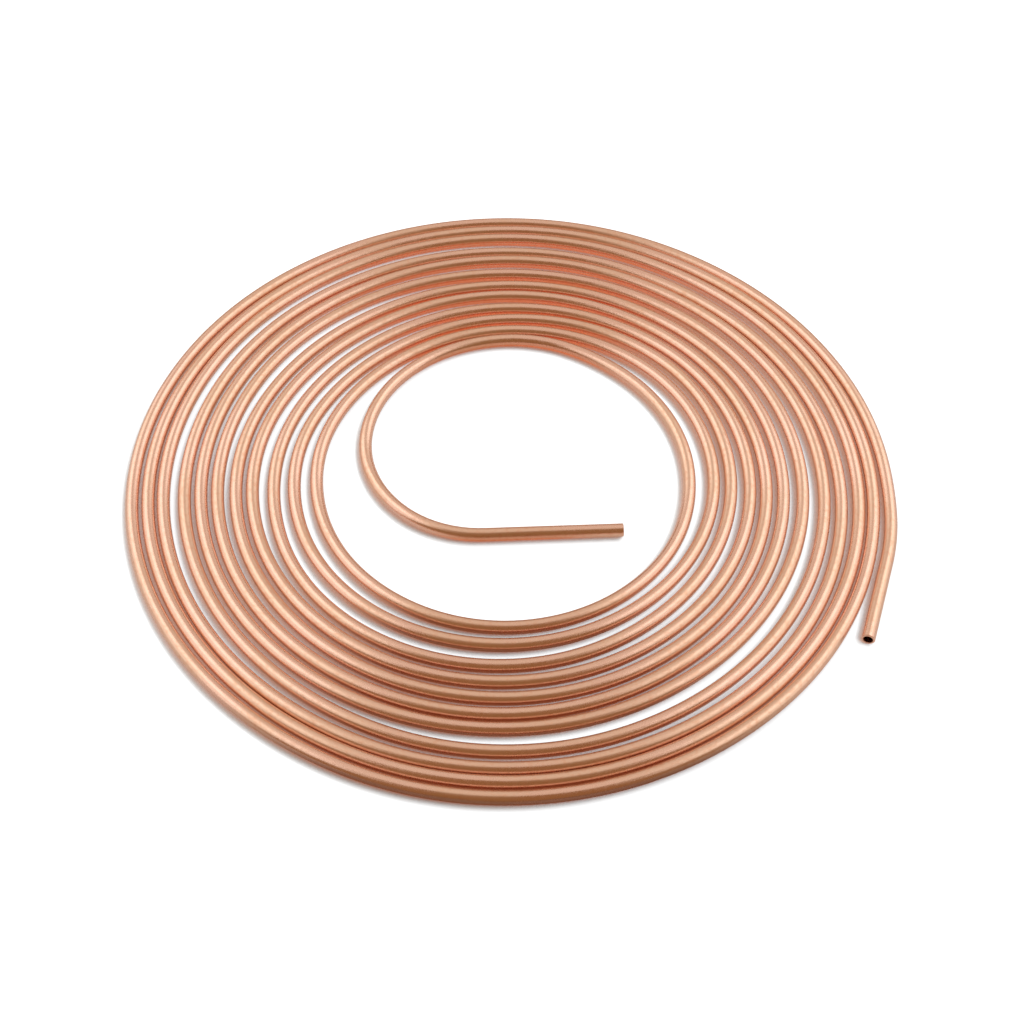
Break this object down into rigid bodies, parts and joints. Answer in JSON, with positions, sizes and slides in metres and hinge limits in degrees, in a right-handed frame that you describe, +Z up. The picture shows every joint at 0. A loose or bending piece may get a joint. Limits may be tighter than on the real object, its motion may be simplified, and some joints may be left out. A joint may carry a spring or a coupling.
{
  "type": "copper tube coil",
  "caption": "Soft copper tube wound flat into an open spiral coil, with a loose curl in the eye, plain cut ends and a clear bore; stock to bend into fuel, brake or gas lines.",
  "frame": {"origin": "middle of the coil's box, on the floor under it", "axes": "+Z up, square to the flat coil; +X to the right and +Y to the far side as it is seen in use, with the outer end at the right near the viewer"},
  "size_m": [0.2786, 0.2778, 0.0047],
  "materials": {
    "copper": "satin, drawn"
  },
  "bodies": {
    "root": {"copper_tube": "copper"}
  },
  "joints": []
}
